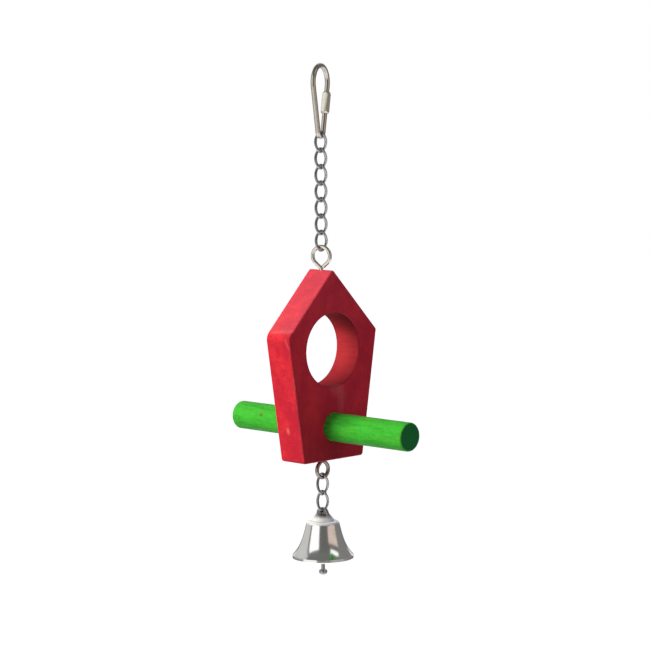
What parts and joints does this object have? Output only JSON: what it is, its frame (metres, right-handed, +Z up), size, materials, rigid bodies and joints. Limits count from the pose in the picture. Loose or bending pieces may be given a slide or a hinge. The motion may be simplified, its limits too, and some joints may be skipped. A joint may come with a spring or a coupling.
{
  "type": "hanging bird play gym",
  "caption": "Hanging bird toy: a red house-shaped wooden board with a round climbing hole and a green perch, on a twisted curb chain with a pear quick link, and a bell below.",
  "frame": {"origin": "top of the inside of the pear link's bow, where it hangs on a cage bar or a hook", "axes": "+Z up along the hanging line, Y along the perch with -Y towards the board's front, X across the board"},
  "size_m": [0.0526, 0.0994, 0.2154],
  "materials": {
    "plated_wire": "bright nickel-plated steel wire",
    "chain_steel": "dull grey plated steel",
    "red_wood": "red water stain, sanded, with faint grain",
    "green_wood": "green water stain, sanded, mottled",
    "nickel": "polished nickel plate"
  },
  "bodies": {
    "pear": {"pear_link": "plated_wire"},
    "nut": {"pear_nut": "plated_wire"},
    "link_1": {"upper_link_1": "chain_steel"},
    "link_2": {"upper_link_2": "chain_steel"},
    "link_3": {"upper_link_3": "chain_steel"},
    "link_4": {"upper_link_4": "chain_steel"},
    "link_5": {"upper_link_5": "chain_steel"},
    "link_6": {"upper_link_6": "chain_steel"},
    "link_7": {"upper_link_7": "chain_steel"},
    "house": {"top_screw_eye": "plated_wire", "house_board": "red_wood", "perch_dowel": "green_wood", "perch_brad": "plated_wire", "bottom_screw_eye": "plated_wire"},
    "low_link_1": {"lower_link_1": "chain_steel"},
    "low_link_2": {"lower_link_2": "chain_steel"},
    "bell": {"bell_crown": "nickel", "bell_shell": "nickel", "clapper_staple": "plated_wire"},
    "clapper": {"clapper_rod": "plated_wire", "clapper_head": "nickel"}
  },
  "joints": [
    {"name": "nut_travel", "type": "slide", "parent": "pear", "child": "nut", "axis": [-0.2147, -0.0781, -0.9736], "range_m": [0, 0.00605]},
    {"name": "link_1_swing", "type": "hinge", "parent": "pear", "child": "link_1", "pos_m": [0, 0, -0.0283], "axis": [0.9848, 0.1736, 0], "range_deg": [-70, 70]},
    {"name": "link_2_swing", "type": "hinge", "parent": "link_1", "child": "link_2", "pos_m": [0, 0, -0.03331], "axis": [0, 1, 0], "range_deg": [-75, 75]},
    {"name": "link_3_swing", "type": "hinge", "parent": "link_2", "child": "link_3", "pos_m": [0, 0, -0.04152], "axis": [-1, 0, 0], "range_deg": [-75, 75]},
    {"name": "link_4_swing", "type": "hinge", "parent": "link_3", "child": "link_4", "pos_m": [0, 0, -0.04703], "axis": [0, -1, 0], "range_deg": [-75, 75]},
    {"name": "link_5_swing", "type": "hinge", "parent": "link_4", "child": "link_5", "pos_m": [0, 0, -0.05524], "axis": [1, 0, 0], "range_deg": [-75, 75]},
    {"name": "link_6_swing", "type": "hinge", "parent": "link_5", "child": "link_6", "pos_m": [0, 0, -0.06075], "axis": [0, 1, 0], "range_deg": [-75, 75]},
    {"name": "link_7_swing", "type": "hinge", "parent": "link_6", "child": "link_7", "pos_m": [0, 0, -0.06896], "axis": [-1, 0, 0], "range_deg": [-75, 75]},
    {"name": "house_swing", "type": "hinge", "parent": "link_7", "child": "house", "pos_m": [0, 0, -0.07422], "axis": [-0.3746, 0.9272, 0], "range_deg": [-30, 30]},
    {"name": "low_link_1_swing", "type": "hinge", "parent": "house", "child": "low_link_1", "pos_m": [0, 0, -0.17177], "axis": [1, 0, 0], "range_deg": [-70, 70]},
    {"name": "low_link_2_swing", "type": "hinge", "parent": "low_link_1", "child": "low_link_2", "pos_m": [0, 0, -0.17757], "axis": [0, 1, 0], "range_deg": [-75, 75]},
    {"name": "bell_swing", "type": "hinge", "parent": "low_link_2", "child": "bell", "pos_m": [0, 0, -0.18632], "axis": [-1, 0, 0], "range_deg": [-75, 75]},
    {"name": "clapper_swing", "type": "hinge", "parent": "bell", "child": "clapper", "pos_m": [0, 0, -0.19497], "axis": [0, 1, 0], "range_deg": [-40, 40]}
  ]
}
